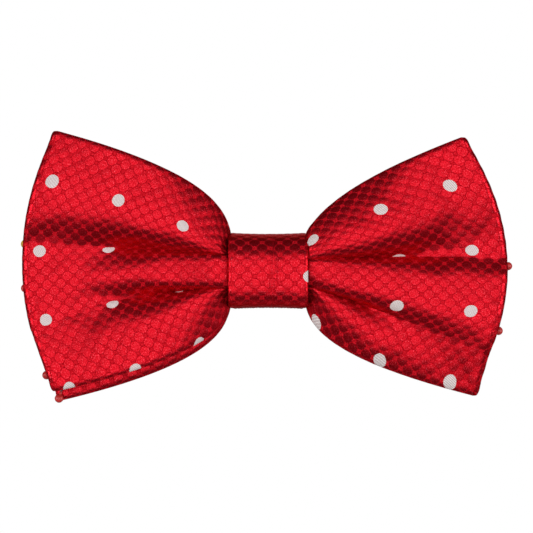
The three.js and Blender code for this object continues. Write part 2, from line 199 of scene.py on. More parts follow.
def cloth_material():
    """Honeycomb damask: satin cells that mirror the light in a matt net, with woven spots.

    The cells' brightness follows the tilt of the cloth while the net stays even, so that the
    pattern turns from light on dark to dark on light across a fold.
    """
    m = Surface("jacquard_cloth")
    cloth = m.coordinates(uv="cloth")
    waver = m.math("MULTIPLY_ADD", m.noise(cloth, 9.0, 1.0), 0.05, -0.025)
    a, b, _ = m.split(cloth)
    a = m.math("ADD", a, waver)
    b = m.math("SUBTRACT", b, waver)

    def off(value, shift, step=1.0):
        """How far value lies from the nearest multiple of step, after a shift."""
        moved = m.math("ADD", value, shift)
        return m.math("ABSOLUTE", m.math("PINGPONG", moved, step / 2))

    def octagon(x, y):
        corner = m.math("MULTIPLY", m.math("ADD", x, y), math.sqrt(0.5) * CELL_CORNER)
        return m.math("MAXIMUM", m.math("MAXIMUM", x, y), corner)

    def disc(x, y):
        return m.math("SQRT", m.math("ADD", m.math("MULTIPLY", x, x), m.math("MULTIPLY", y, y)))

    a0, a1, b0, b1 = off(a, 0.0), off(a, 0.5), off(b, 0.0), off(b, 0.5)
    cell_far = m.math("MINIMUM", octagon(a0, b0), octagon(a1, b1))
    stud_far = m.math("MINIMUM", disc(a1, b0), disc(a0, b1))
    spot_far = disc(off(a, 0.0, SPOT_STEP), off(b, 0.0, SPOT_STEP))

    # Threads: the cells' floats run across the strip, the spots' run in a slanting twill.
    floats = m.math("PINGPONG", m.math("ADD", a, m.math("MULTIPLY", b, 0.12)), THREAD_STEP)
    floats = m.math("MULTIPLY", floats, 1 / THREAD_STEP)
    twill = m.math("PINGPONG", m.math("ADD", a, m.math("MULTIPLY", b, 1.3)), TWILL_STEP)
    twill = m.math("MULTIPLY", twill, 1 / TWILL_STEP)
    speckle = m.noise(m.scaled(cloth, (16.0, 9.0, 1.0)), 1.0, 3.0, 0.7)
    patch = m.noise(cloth, 0.35, 2.0)

    ragged = m.math("MULTIPLY_ADD", speckle, 0.07, -0.035)
    cell_far = m.math("ADD", cell_far, ragged)
    cell = m.ramp(cell_far, CELL_RADIUS + 0.015, CELL_RADIUS - 0.035)
    stud = m.ramp(stud_far, STUD_RADIUS + 0.02, STUD_RADIUS - 0.03)
    spot = m.ramp(spot_far, SPOT_RADIUS + 0.012, SPOT_RADIUS - 0.012)
    satin = m.math("MAXIMUM", cell, m.math("MULTIPLY", stud, 0.5))
    # Painted shade: a dark rim round each cell's edge stands for the shadow of its raised border,
    # and the rim is also kept matt.
    rim = m.math("ABSOLUTE", m.math("SUBTRACT", cell_far, CELL_RADIUS + 0.012))
    rim = m.math("MULTIPLY", m.ramp(rim, 0.034, 0.008), m.ramp(speckle, 0.62, 0.4, 0.2, 1.0))

    satin_dark, satin_light = rgb(0.40, 0.002, 0.006), rgb(0.68, 0.014, 0.028)
    cell_colour = m.mix(m.ramp(speckle, 0.38, 0.62), satin_dark, satin_light)
    # Painted highlights: pink glints along the satin floats, set into the cells' colour.
    glint = m.math("MULTIPLY", m.ramp(speckle, 0.54, 0.72), m.ramp(floats, 0.3, 0.9))
    cell_colour = m.mix(glint, cell_colour, rgb(0.90, 0.15, 0.19))
    net_dark, net_light = rgb(0.48, 0.002, 0.006), rgb(0.84, 0.015, 0.031)
    net_colour = m.mix(m.ramp(speckle, 0.35, 0.65), net_dark, net_light)
    net_colour = m.mix(m.ramp(patch, 0.4, 0.6, 0.0, 0.3), net_colour, net_dark)
    red = m.mix(satin, net_colour, cell_colour)
    # Painted shade round each cell's edge: the rim is darkened towards a deep red.
    red = m.mix(m.math("MULTIPLY", rim, 0.9), red, rgb(0.26, 0.0, 0.004))
    white = m.mix(m.ramp(twill, 0.25, 0.7), rgb(0.42, 0.26, 0.26), rgb(0.97, 0.94, 0.92))
    m.set(base_color=m.mix(spot, red, white))
    satin_only = m.math("MULTIPLY", satin, m.math("SUBTRACT", 1.0, spot))
    mirror = m.math("MULTIPLY", satin_only, m.math("MULTIPLY_ADD", rim, -0.75, 1.0))
    m.set(metallic=m.math("MULTIPLY_ADD", mirror, 0.76, 0.13))
    m.set(roughness=m.math("MULTIPLY_ADD", satin_only, -0.30, 0.64))
    m.set(specular_IOR_level=0.06, specular_tint=rgb(0.5, 0.06, 0.08))
    dome = m.math("SUBTRACT", 1.0, m.math("POWER", m.math("DIVIDE", cell_far, CROWN_RADIUS), 2.0))
    height = m.math("MULTIPLY_ADD", floats, 0.16, m.math("MULTIPLY", dome, 0.6))
    height = m.math("MULTIPLY_ADD", speckle, 0.5, height)
    height = m.math("MULTIPLY_ADD", m.math("MULTIPLY", spot, twill), 0.3, height)
    m.bump(height, 0.05 * MM)
    return m.material


def cell_relief(a, b):
    """The honeycomb's relief over the cloth, from 0 in the net to 1 on a cell's crown."""
    far = [
        np.hypot(a + shift - np.round(a + shift), b + shift - np.round(b + shift))
        for shift in (0.0, 0.5)
    ]
    return np.clip(1 - (np.minimum(*far) / CROWN_RADIUS) ** 2, 0, 1)


# ---- Other materials -----------------------------------------------------------------------


def lining_material():
    """Off-white canvas interlining with a plain weave."""
    m = Surface("interlining")
    place = m.scaled(m.coordinates(uv="cloth"), (7.0, 7.0, 1.0))
    x, y, _ = m.split(place)
    warp = m.math("ABSOLUTE", m.math("SINE", m.math("MULTIPLY", x, math.pi)))
    weft = m.math("ABSOLUTE", m.math("SINE", m.math("MULTIPLY", y, math.pi)))
    weave = m.math("MULTIPLY", warp, weft)
    tint = m.math("MULTIPLY", weave, m.noise(place, 0.4, 3.0))
    m.set(base_color=m.mix(m.ramp(tint, 0.0, 0.6), rgb(0.5, 0.46, 0.4), rgb(0.8, 0.77, 0.7)))
    m.set(roughness=0.9)
    m.bump(weave, 0.08 * MM)
    return m.material


def thread_material(name, dark, light):
    """Sewing thread, with fine fibres over its twist."""
    m = Surface(name)
    fibres = m.noise(m.scaled(m.coordinates(), (9e3, 9e3, 9e3)), 1.0, 3.0, 0.65)
    m.set(base_color=m.mix(m.ramp(fibres, 0.3, 0.7), dark, light))
    m.set(roughness=m.ramp(fibres, 0.2, 0.8, 0.45, 0.7))
    m.set(sheen_weight=0.25)
    m.bump(fibres, 0.03 * MM)
    return m.material


def metal_material(name, colour, roughness, brushing):
    """Plated metal with fine brush lines along Z and a few rubbed patches."""
    m = Surface(name)
    place = m.coordinates()
    lines = m.noise(m.scaled(place, (6e3, 6e3, 4e2)), 1.0, 3.0, 0.6)
    rubbed = m.noise(place, 420.0, 3.0)
    dull = rgb(*(channel * 0.72 for channel in colour))
    m.set(base_color=m.mix(m.ramp(rubbed, 0.35, 0.65), dull, rgb(*colour)))
    m.set(metallic=1.0)
    spread = m.math("MULTIPLY_ADD", m.ramp(lines, 0.3, 0.7), brushing, roughness)
    m.set(roughness=m.math("MULTIPLY_ADD", rubbed, 0.08, spread))
    m.bump(lines, 0.02 * MM, 0.6)
    return m.material


def head_material(name, dark, light):
    """Moulded plastic with a faint mottle and a hazy gloss."""
    m = Surface(name)
    mottle = m.noise(m.coordinates(), 1400.0, 3.0, 0.6)
    m.set(base_color=m.mix(m.ramp(mottle, 0.35, 0.65), dark, light))
    m.set(roughness=m.ramp(mottle, 0.2, 0.8, 0.28, 0.42))
    m.bump(mottle, 0.03 * MM)
    return m.material


def floor_material():
    m = Surface("floor")
    grain = m.noise(m.coordinates(), 40.0, 4.0)
    m.set(base_color=m.mix(grain, rgb(0.86, 0.86, 0.85), rgb(0.9, 0.9, 0.9)), roughness=0.9)
    return m.material


CLOTH = cloth_material()
LINING = lining_material()
THREAD = thread_material("sewing_thread", rgb(0.20, 0.004, 0.01), rgb(0.52, 0.012, 0.03))
METAL = metal_material("plated_metal", (0.72, 0.71, 0.69), 0.2, 0.14)
STEEL = metal_material("pin_steel", (0.62, 0.63, 0.65), 0.14, 0.1)
HEADS = {
    "red": head_material("pin_head_red", rgb(0.46, 0.016, 0.016), rgb(0.62, 0.035, 0.03)),
    "yellow": head_material("pin_head_yellow", rgb(0.55, 0.30, 0.01), rgb(0.72, 0.45, 0.03)),
}

# ---- Meshes --------------------------------------------------------------------------------


def add_piece(name, points, faces, material, body="root", uv=None, replaces=()):
    """A smooth mesh that stands for its CAD nodes and rides on a body, unless body is None."""
    mesh = bpy.data.meshes.new(name)
    mesh.from_pydata(points.reshape(-1, 3).tolist(), [], faces)
    if signed_volume(mesh) < 0:
        mesh.flip_normals()
    if uv is not None:
        layer = mesh.uv_layers.new(name="cloth")
        corners = np.empty(len(mesh.loops), np.int32)
        mesh.loops.foreach_get("vertex_index", corners)
        layer.data.foreach_set("uv", uv.reshape(-1, 2)[corners].ravel())
    mesh.shade_smooth()
    mesh.materials.append(material)
    piece = bpy.data.objects.new(name, mesh)
    bpy.context.collection.objects.link(piece)
    if body:
        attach(piece, body)
    if replaces:
        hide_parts(*replaces)
    return piece


def signed_volume(mesh):
    """Volume of a closed mesh, below zero where its faces look inwards."""
    mesh.calc_loop_triangles()
    count = len(mesh.loop_triangles)
    corners = np.empty(count * 3, np.int32)
    mesh.loop_triangles.foreach_get("vertices", corners)
    points = np.empty(len(mesh.vertices) * 3)
    mesh.vertices.foreach_get("co", points)
    a, b, c = points.reshape(-1, 3)[corners.reshape(-1, 3)].transpose(1, 0, 2)
    return np.einsum("ij,ij->", a, np.cross(b, c))


def grid_faces(rows, columns, closed_rows):
    """Quads of a grid whose columns close on themselves, and whose rows may do so too."""
    last = rows if closed_rows else rows - 1
    i, j = np.meshgrid(np.arange(last), np.arange(columns), indexing="ij")
    below, right = (i + 1) % rows, (j + 1) % columns
    corners = (i * columns + j, i * columns + right, below * columns + right, below * columns + j)
    return np.stack([corner.ravel() for corner in corners], axis=1).tolist()


def end_faces(rows, columns):
    """The two faces that close a tube of rows rings."""
    ring = list(range(columns))
    return [ring[::-1], [corner + (rows - 1) * columns for corner in ring]]


def unit(vectors):
    return vectors / np.maximum(np.linalg.norm(vectors, axis=-1, keepdims=True), 1e-12)


def normals(surface):
    """Unit normals of a grid of points."""
    return unit(np.cross(np.gradient(surface, axis=0), np.gradient(surface, axis=1)))


def soft_edge(t, half, radius):
    """The share of the full thickness that a folded edge keeps at t."""
    x = np.clip((np.abs(t) - (half - radius)) / radius, 0, 1)
    return np.sqrt(1 - x * x)


def across(half, step, edge):
    """Places across a strip: even in the middle, and closer round the folded edges."""
    turn = np.linspace(0, np.pi / 2, 5)[:-1]
    rim = half - edge + edge * np.cos(turn)
    middle = np.linspace(-(half - edge), half - edge, max(2, int(2 * (half - edge) / step)) + 1)
    return np.concatenate([-rim, middle, rim[::-1]])


def cloth_tube(name, surface, half, thick, step, pattern, closed, relief=0.0, inner=4.0, **piece):
    """A sewn tube of cloth, pressed flat, whose middle lies on a surface.

    surface(t) gives a grid of points and a grid of lengths along the strip, and pattern(s, t)
    the place in the weave. The tube's two faces are thick apart, and meet in folded edges. step
    is the mesh's on the outer face, and the inner face's is inner times as long.
    """
    outer_t = across(half, step, thick)
    # The inner face runs the other way, which turns its normals round as well.
    inner_t = across(half, step * inner, thick)[1:-1][::-1]
    grids = []
    uvs = []
    for t, raised in ((outer_t, relief), (inner_t, 0.0)):
        points, s = surface(t)
        a, b = pattern(s, np.broadcast_to(t, s.shape))
        swell = (thick / 2 + raised * cell_relief(a, b)) * soft_edge(t, half, thick)
        grids.append(points + normals(points) * swell[..., None])
        uvs.append(np.stack([a, b], axis=-1))
    points = np.concatenate(grids, axis=1)
    uv = np.concatenate(uvs, axis=1)
    rows, columns = points.shape[:2]
    faces = grid_faces(rows, columns, closed)
    if not closed:
        faces += end_faces(rows, columns)
    return add_piece(name, points, faces, uv=uv, **piece)


# ---- The two bows --------------------------------------------------------------------------

BAND_RADIUS = math.hypot(*JOINTS["hook_swing"]["pos_m"][:2])
STACK = -(BAND_RADIUS + 1.6 * MM)  # the plane in front of the band that depths are counted from
HALF = 32.5 * MM  # half the width of the bows' strip
PINCH_X = 9.7 * MM  # where the wings start, inside the knot
PINCH_HALF = 7.2 * MM  # half their height there
STEP_WIDTH = 22  # in millimetres, over which the cloth below a stepped valley comes forward
PRESSED = 0.6  # how much of the gap between a bow's panels is left at its corners
CORNER_PULL = 0.9  # how far the wings' corners are drawn out, in millimetres
BOW_THICK = 1.4 * MM
LINING_INSET = 0.9 * MM  # of the interlining from the strip's folded edges


class Wing:
    """One side of a bow. Lengths are in millimetres.

    u runs from 0 at the knot to 1 at the fold, t across the cloth, and v is t as a share of the
    half width. top and bottom are the corners, reach the fold's furthest point, and rise the
    powers of the two edges' curves. lower and upper say where the cloth is tucked in: its place
    across at the knot and at the fold, and its height at both with the power of the curve
    between. slack says how steeply the cloth leaves the lower edge, the middle and the upper
    edge, and rolled how much of it turns away at the upper edge near the knot. valleys and rolls
    are how the front falls back. pattern is the weave's first spot from the fold, the spots'
    place across, their slant and the stretch of the cloth.
    """

    def __init__(
        self, side, reach, top, bottom, rise, lower, upper, slack, rolled, valleys, rolls, pattern
    ):
        self.side = side
        self.reach = reach
        self.top = top
        self.bottom = bottom
        self.rise = rise
        self.lower = lower
        self.upper = upper
        self.slack = slack
        self.rolled = rolled
        self.valleys = valleys
        self.rolls = rolls
        self.pattern = pattern

    def fold(self, v):
        corner = np.where(v > 0, self.top[0], self.bottom[0])
        return lerp(self.reach, corner, v * v) + CORNER_PULL * v**16

    def height(self, u, t):
        """Height of the cloth at t (mm), with its slack tucked into the valleys."""
        half = HALF / MM
        pinch = PINCH_HALF / MM
        top = lerp(pinch, self.top[1], u ** self.rise[0])
        bottom = lerp(-pinch, self.bottom[1], u ** self.rise[1])
        low_t, low = tuck_line(self.lower, u)
        up_t, up = tuck_line(self.upper, u)

        middle = (up_t + low_t) / 2
        reach = (up_t - low_t) / 2
        inner = tucked(np.abs(t - middle), reach, (up - low) / 2, self.slack[1])
        inner = (up + low) / 2 + np.sign(t - middle) * inner
        lost = self.rolled * (1 - u) ** 4
        distance = half - t - lost * (1 - np.exp(-(((half - t) / 4) ** 2)))
        upper = top - tucked(distance, half - up_t - lost, top - up, self.slack[2])
        lower = bottom + tucked(half + t, half + low_t, low - bottom, self.slack[0])
        return np.where(t > up_t, upper, np.where(t < low_t, lower, inner))

    def sink(self, u, t):
        """How far the front falls back in its valleys and along its edges."""
        return sum(shape(u, t) for shape in self.valleys + self.rolls)


def valley(place, deep, above, below, drift=(0.0, 1.0), fade=1.2, step=0.0):
    """A crease that runs out from the knot. deep is its depth at the knot and at the fold,
    above and below are its widths on either side at the knot and at the fold, and drift is how
    far it wanders across the cloth on its way, with the power of that curve. step is the share
    of the depth that the cloth below it only wins back slowly."""

    def sink(u, t):
        away = t - place - drift[0] * u ** drift[1]
        wide = u**1.6
        width = np.where(away > 0, lerp(above[0], above[1], wide), lerp(below[0], below[1], wide))
        far = (np.abs(away) / width) ** lerp(1.4, 2.2, smoothstep(u, 0, 0.4))
        low = np.where(away > 0, 0, step * smoothstep(u, 0, 0.3))
        shape = lerp(np.exp(-far), np.exp(-((away / STEP_WIDTH) ** 2)), low)
        return lerp(deep[1], deep[0], (1 - u) ** fade) * shape

    return sink


def roll(side, deep, fade, start, left=0.0):
    """An edge that falls back: from its share start of the half width out, deep at the knot and
    less towards the fold, where left of it remains."""

    def sink(u, t):
        share = np.clip((side * t / (HALF / MM) - start) / (1 - start), 0, 1)
        return lerp(left, deep, (1 - u) ** fade) * share**1.7

    return sink


def dent(place, share, deep, wide, long):
    """A soft dent round a place across the cloth, at a share of the way to the fold."""

    def sink(u, t):
        return deep * np.exp(-(((t - place) / wide) ** 2) - ((u - share) / long) ** 2)

    return sink


def tuck_line(line, u):
    """Where a tuck runs: its place across the cloth, and its height."""
    t_knot, t_fold, knot, fold, power = line
    return lerp(t_knot, t_fold, u), lerp(knot, fold, u**power)


def tucked(distance, cloth, height, stretch):
    """Height that a length of cloth reaches, where cloth is more than height and the rest is
    tucked away at its far end. stretch is the height that the first bit of cloth takes up."""
    full = np.maximum((stretch * cloth / height) ** 4 - 1, 0.05) ** 0.25
    part = full * np.clip(distance / cloth, 0, 1)
    return height * (part / full) * ((1 + full**4) / (1 + part**4)) ** 0.25


class Bow:
    """A loop of strip. Lengths are in millimetres.

    front and back are the depths of its two panels at the knot and the fold, puff how far each
    swells between, and pleat how much of the valleys each follows near the knot. seed picks the
    cloth's waves.
    """

    def __init__(self, wings, front, back, puff, pleat, seed):
        self.wings = wings
        self.front = front
        self.back = back
        self.puff = puff
        self.pleat = pleat
        self.seed = seed

    def depths(self, wing, u, t):
        v = t / (HALF / MM)
        sink = wing.sink(u, t)
        swell = np.sin(np.pi * u**0.6) * (1 - 0.35 * v * v)
        wave = undulation(u * 3.0 + 7 * wing.side, v * 2.5, self.seed) * 0.55
        wave = wave + undulation(u * 9.0 + 3 * wing.side, v * 7.0, self.seed + 1) * 0.16
        wave = wave * np.sqrt(u)
        front = lerp(*self.front, smoothstep(u, 0, 0.6)) + self.puff[0] * swell
        back = lerp(*self.back, smoothstep(u, 0, 0.4)) - self.puff[1] * swell
        front = front - sink * self.pleat[0] + wave
        back = back - sink * self.pleat[1] * lerp(1, 1 / self.pleat[1], smoothstep(u, 0.3, 1.0))
        back = back + wave * smoothstep(u, 0.2, 1.0)
        gap = smoothstep(u, 0.7, 1.0) * smoothstep(np.abs(v), 0.5, 1.0)
        middle = (front + back) / 2
        press = lerp(1, PRESSED, gap)
        return middle + (front - middle) * press, middle + (back - middle) * press

    def wing_rows(self, wing, t):
        """Points and lengths from the fold, from the knot's front round the fold to its back."""
        t = t / MM
        count = 104
        share = np.linspace(0, 1, count) ** 1.5
        turns = np.radians(np.linspace(90, -90, 13))[1:-1]
        u = np.concatenate([share, np.ones(len(turns)), share[::-1]])[:, None]
        front_rows = np.full(count, np.pi / 2)
        turn = np.concatenate([front_rows, turns, -front_rows])[:, None]
        v = t / (HALF / MM)
        front, back = self.depths(wing, u, t)
        round_radius = (front - back) / 2
        radius_at_fold = round_radius[count]
        out = np.where(u == 1, np.cos(turn) * radius_at_fold, 0)
        x = lerp(PINCH_X / MM, wing.fold(v) - radius_at_fold, u) + out
        depth = (front + back) / 2 + np.sin(turn) * round_radius
        z = wing.height(u, t)
        points = np.stack([wing.side * x, STACK / MM - depth, z + 0 * x], axis=-1) * MM
        steps = np.linalg.norm(np.diff(points, axis=0), axis=-1)
        lengths = np.concatenate([np.zeros((1, points.shape[1])), np.cumsum(steps, axis=0)])
        fold_row = count + len(turns) // 2
        return points, lengths[fold_row] - lengths

    def surface(self, t):
        """The whole loop: the left wing from its back to its front, then the right wing."""
        left, left_s = self.wing_rows(self.wings[0], t)
        right, right_s = self.wing_rows(self.wings[1], t)
        return np.concatenate([left[::-1], right]), np.concatenate([left_s[::-1], right_s])

    def weave(self, s, t):
        """Place in the weave, in cells. Each wing has its own origin and slant."""
        rows = s.shape[0] // 2
        weaves = np.repeat([wing.pattern for wing in self.wings], rows, axis=0)
        away, up, slant, stretch = (weaves[:, k : k + 1] for k in range(4))
        sides = np.repeat([wing.side for wing in self.wings], rows)[:, None]
        a = sides * (s - away * MM - slant * t) / (CELL * stretch)
        return a, (t - up * MM) / CELL


def undulation(x, y, seed):
    """Smooth, repeatable waviness between about -1 and 1."""
    pick = np.random.default_rng(seed)
    total = 0
    for _ in range(7):
        angle, phase = pick.uniform(0, 2 * np.pi, 2)
        speed = pick.uniform(1.0, 2.6)
        total = total + np.sin(speed * (x * np.cos(angle) + y * np.sin(angle)) * 2 + phase)
    return total / 4


FRONT_LEFT = Wing(
    side=-1, reach=60.4, top=(52.0, 34.6), bottom=(52.2, -29.9), rise=(0.42, 0.43),
    lower=(-12.6, -16.0, -4.2, -14.0, 1.7),
    upper=(3.3, 4.0, 3.0, 6.0, 0.45),
    slack=(1.08, 0.9, 1.0),
    rolled=0.0,
    valleys=[
        valley(
            3.3, deep=(7.4, 2.9), above=(12.5, 6.2), below=(1.8, 12.0), drift=(-1.1, 2.0), step=0.6
        ),
        dent(6.5, 0.48, 2.4, 4.5, 0.14),
        valley(-12.6, deep=(6.6, 0.0), above=(2.2, 9.0), below=(5.2, 11.0), fade=0.7),
    ],
    rolls=[roll(1, 7.6, 1.9, 0.45), roll(-1, 6.4, 3.0, 0.45)],
    pattern=(4.4, 2.8, 0.0, 0.965),
)
FRONT_RIGHT = Wing(
    side=1, reach=58.8, top=(47.6, 33.0), bottom=(50.7, -31.1), rise=(0.56, 0.44),
    lower=(-13.0, -24.0, -3.6, -20.0, 1.1),
    upper=(2.5, 2.5, 2.7, 3.3, 0.5),
    slack=(1.08, 0.9, 0.86),
    rolled=6.5,
    valleys=[
        valley(
            2.5, deep=(7.4, 1.8), above=(6.5, 9.5), below=(1.8, 8.0), drift=(6.5, 3.0), step=0.5
        ),
        valley(-13.0, deep=(6.6, 0.3), above=(3.4, 9.0), below=(5.5, 8.0), drift=(-11.0, 0.9)),
        valley(3.0, deep=(0.0, 2.5), above=(3.0, 11.0), below=(6.0, 4.6)),
    ],
    rolls=[roll(1, 6.4, 0.75, 0.48), roll(-1, 6.8, 0.6, 0.43, left=3.4)],
    pattern=(8.6, 4.5, 0.038, 1.035),
)
REAR_LEFT = Wing(
    side=-1, reach=57.9, top=(49.4, 32.4), bottom=(51.2, -32.3), rise=(0.44, 0.40),
    lower=(-9.0, -9.0, -2.5, -8.4, 0.6),
    upper=(8.0, 8.0, 2.5, 8.0, 0.6),
    slack=(1.08, 0.86, 1.08),
    rolled=0.0,
    valleys=[
        valley(8.0, deep=(6.0, 1.2), above=(5.0, 6.0), below=(5.0, 6.0)),
        valley(-9.0, deep=(6.0, 1.2), above=(5.0, 6.0), below=(5.0, 6.0)),
    ],
    rolls=[roll(1, 1.2, 1.5, 0.5), roll(-1, 3.0, 0.8, 0.6, left=1.2)],
    pattern=(2.0, 8.0, 0.0, 1.0),
)
REAR_RIGHT = Wing(
    side=1, reach=56.2, top=(46.0, 30.6), bottom=(49.0, -29.0), rise=(0.56, 0.46),
    lower=(-9.0, -9.0, -2.5, -6.6, 0.6),
    upper=(9.0, 9.0, 2.5, 8.4, 0.6),
    slack=(1.08, 0.86, 1.08),
    rolled=0.0,
    valleys=[
        valley(9.0, deep=(6.0, 1.2), above=(5.0, 6.0), below=(5.0, 6.0)),
        valley(-9.0, deep=(6.0, 1.2), above=(5.0, 6.0), below=(5.0, 6.0)),
    ],
    rolls=[roll(1, 1.2, 1.5, 0.5), roll(-1, 1.2, 1.5, 0.5)],
    pattern=(12.0, -6.0, 0.0, 1.0),
)
FRONT_BOW = Bow(
    (FRONT_LEFT, FRONT_RIGHT),
    front=(12.4, 11.2), back=(4.9, 8.6), puff=(2.6, 0.4), pleat=(1.0, 0.12), seed=5,
)
REAR_BOW = Bow(
    (REAR_LEFT, REAR_RIGHT),
    front=(3.4, 5.0), back=(1.0, 2.2), puff=(0.9, 1.6), pleat=(0.5, 0.5), seed=11,
)


def add_bow(name, bow):
    cloth = cloth_tube(
        name + "_bow", bow.surface, HALF, BOW_THICK, 0.5 * MM, bow.weave, True,
        relief=0.07 * MM, material=CLOTH, replaces=[name + "_bow_cloth"],
    )
    lining_half = HALF - LINING_INSET
    lining = cloth_tube(
        name + "_bow_canvas", bow.surface, lining_half, 0.4 * MM, 1.5 * MM, bow.weave, True,
        inner=1.0, material=LINING, replaces=[name + "_bow_interlining"],
    )


add_bow("front", FRONT_BOW)
add_bow("rear", REAR_BOW)

# ---- The knot ------------------------------------------------------------------------------

KNOT_LOW, KNOT_HIGH = (Vector(corner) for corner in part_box("knot_wrap"))
KNOT_WALL = 0.8 * MM  # thickness of its cloth
KNOT_HALF = (KNOT_HIGH.x - KNOT_LOW.x) / 2
KNOT_TOP = (KNOT_HIGH.z - KNOT_LOW.z) / 2
KNOT_BULGE = 11.5 * MM  # depth of the knot's round front
KNOT_CORNER = 2.2 * MM
KNOT_WAIST = 0.35 * MM  # how far its middle is drawn in
KNOT_POWERS = (0.74, 0.42)  # of its front's curves, above and below; 1 is round
CREASE_X = 1.2 * MM  # of the soft crease down its front
KNOT_SPOT = 33.6 * MM  # from the middle of its back, over the top, to its spot


def knot_loop(inset, count):
    """Places (y, z) round the knot's section, inset from its outside, evenly spaced from the
    middle of its back over the top to the front and back underneath."""
    top = KNOT_TOP - inset
    back = KNOT_HIGH.y - inset
    corner = KNOT_CORNER - inset
    shoulder = KNOT_LOW.y + KNOT_BULGE
    turn = np.linspace(0, np.pi / 2, 10)
    back_arc = np.stack(
        [back - corner + corner * np.cos(turn), top - corner + corner * np.sin(turn)], axis=1
    )
    lean = np.linspace(np.pi / 2, 0, 40)

    def front_arc(power):
        depth = (KNOT_BULGE - inset) * np.cos(lean) ** power
        return np.stack([shoulder - depth, top * np.sin(lean) ** power], axis=1)

    upper = np.concatenate([[(back, 0)], back_arc, front_arc(KNOT_POWERS[0])])
    lower = np.concatenate([back_arc, front_arc(KNOT_POWERS[1])])[-2::-1] * (1, -1)
    loop = np.concatenate([upper, lower, [(back, 0)]])
    length = np.concatenate([[0], np.cumsum(np.linalg.norm(np.diff(loop, axis=0), axis=1))])
    places = np.linspace(0, length[-1], count + 1)[:-1]
    return np.stack([np.interp(places, length, loop[:, k]) for k in (0, 1)], axis=1), places


def knot_surface(inset, count, waist):
    """The knot's cloth at (s, t): s runs round it and t across. Its sides curl in, its middle is
    drawn in a little, and a soft crease runs down its front."""

    def surface(t):
        loop, places = knot_loop(inset, count)
        y, z = loop[:, :1], loop[:, 1:]
        middle_y = (KNOT_LOW.y + KNOT_HIGH.y) / 2
        radial = unit(np.stack([y - middle_y, z], axis=-1))
        front = smoothstep(-y, -middle_y, -KNOT_LOW.y)
        share = t / KNOT_HALF
        curl = smoothstep(np.abs(share), 0.9, 1.0) * 0.35 * MM
        drawn = waist * (1 - share**2) * smoothstep(np.abs(z) + 0 * t, 0, KNOT_TOP)
        wander = 0.35 * MM * np.sin(z * 320 + 0.6)
        crease = np.exp(-(((t - CREASE_X - wander) / (0.75 * MM)) ** 2)) * 0.34 * MM * front
        fold = np.exp(-(((t + 5.6 * MM + 2 * wander) / (1.5 * MM)) ** 2)) * 0.16 * MM * front
        wave = 0.1 * MM * undulation(t * 260, z * 230, 3) * front
        inward = curl + drawn + crease + fold + wave
        x = np.broadcast_to(t, inward.shape)
        points = np.stack([x, y - radial[..., 0] * inward, z - radial[..., 1] * inward], axis=-1)
        return points, np.broadcast_to(places[:, None], inward.shape)

    return surface


def knot_weave(s, t):
    """The knot is cut along the strip, with a spot at its right edge and a tuck at its crease."""
    tucked_away = np.where(t < CREASE_X, 1.2, 0)
    return (t - 10.3 * MM) / (CELL * 1.04) + tucked_away, (s - KNOT_SPOT) / CELL


def add_knot():
    wrap = cloth_tube(
        "knot", knot_surface(KNOT_WALL / 2 - 0.15 * MM, 150, KNOT_WAIST), KNOT_HALF, KNOT_WALL,
        0.4 * MM, knot_weave, True, relief=0.07 * MM, material=CLOTH, replaces=["knot_wrap"],
    )
    low, high = (Vector(corner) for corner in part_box("knot_interlining"))
    canvas = cloth_tube(
        "knot_canvas", knot_surface(KNOT_WALL + 0.5 * MM, 90, 0.3 * MM), (high.x - low.x) / 2,
        0.3 * MM, 1.2 * MM, knot_weave, True, inner=1.0, material=LINING,
        replaces=["knot_interlining"],
    )


add_knot()

# ---- Threads -------------------------------------------------------------------------------


def sweep(path, radius, sides, twist=0.0, plies=0.0, closed=False):
    """A tube along a path of points. With plies it is a twisted thread of two plies."""
    path = np.asarray(path, float)
    count = len(path)
    if closed:
        ahead = np.roll(path, -1, axis=0) - np.roll(path, 1, axis=0)
    else:
        ahead = np.gradient(path, axis=0)
    ahead = unit(ahead)
    side = np.cross(ahead[0], (0.3, 0.5, 0.8))
    frames = []
    for direction in ahead:
        side = side - direction * np.dot(side, direction)
        side = side / np.linalg.norm(side)
        frames.append((side, np.cross(direction, side)))
    across_path = np.array([frame[0] for frame in frames])
    over_path = np.array([frame[1] for frame in frames])
    steps = np.linalg.norm(np.diff(path, axis=0), axis=1)
    along = np.concatenate([[0], np.cumsum(steps)])
    angle = np.linspace(0, 2 * np.pi, sides, endpoint=False)[None]
    size = radius * (1 + plies * np.cos(2 * (angle - twist * along[:, None])))
    points = (
        path[:, None]
        + (size * np.cos(angle))[..., None] * across_path[:, None]
        + (size * np.sin(angle))[..., None] * over_path[:, None]
    )
    faces = grid_faces(count, sides, closed)
    if not closed:
        faces += end_faces(count, sides)
    return points, faces


def resample(points, step):
    """A smooth line through points, with a point about every step."""
    points = np.asarray(points, float)
    padded = np.concatenate([2 * points[:1] - points[1:2], points, 2 * points[-1:] - points[-2:-1]])
    line = []
    for a, b, c, d in zip(padded, padded[1:], padded[2:], padded[3:]):
        pieces = max(1, int(np.linalg.norm(c - b) / step))
        for k in range(pieces):
            w = k / pieces
            slope = (c - a) * w
            curve = (2 * a - 5 * b + 4 * c - d) * w**2
            twist = (3 * b - a - 3 * c + d) * w**3
            line.append(0.5 * (2 * b + slope + curve + twist))
    return np.array(line + [points[-1]])


def add_thread(name, path, radius, step, **piece):
    points, faces = sweep(resample(path, step), radius, 8, twist=2600.0, plies=0.22)
    return add_piece(name, points, faces, THREAD, **piece)


